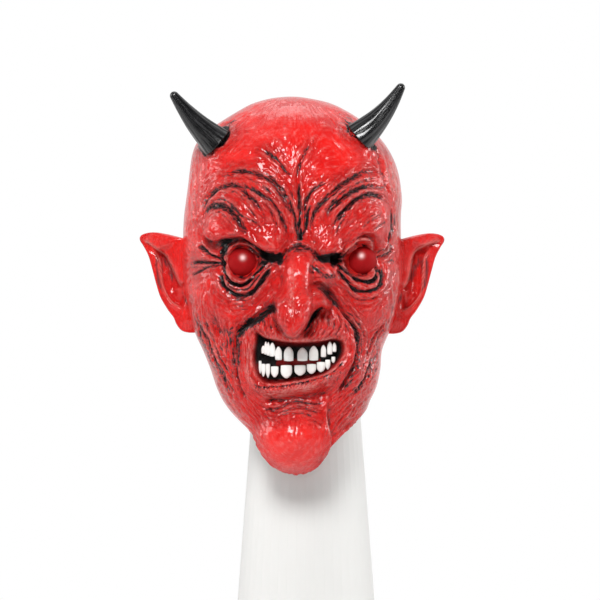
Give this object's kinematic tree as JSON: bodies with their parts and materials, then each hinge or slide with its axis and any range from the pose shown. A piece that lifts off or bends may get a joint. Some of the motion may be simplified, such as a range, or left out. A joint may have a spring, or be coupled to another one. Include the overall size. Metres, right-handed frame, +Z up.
{
  "type": "latex devil mask on display stand",
  "caption": "Hollow red latex devil mask with black fluted horns, pointed ears, red eye domes and bared teeth, upright on a white tapered post with a low round foot.",
  "frame": {"origin": "centre of the underside of the stand's round foot, on the axis of the post", "axes": "+Z up along the post, the face looks towards -Y, +X to the right as the face is seen from the front"},
  "size_m": [0.2759, 0.2622, 0.5098],
  "materials": {
    "latex": "glossy painted red latex with a dark wash in the folds",
    "horn": "glossy black",
    "dome": "glossy dark red",
    "stand": "smooth matt white"
  },
  "bodies": {
    "root": {"mask": "latex", "horn_left": "horn", "horn_right": "horn", "eye_left": "dome", "eye_right": "dome", "display_stand": "stand"}
  },
  "joints": []
}
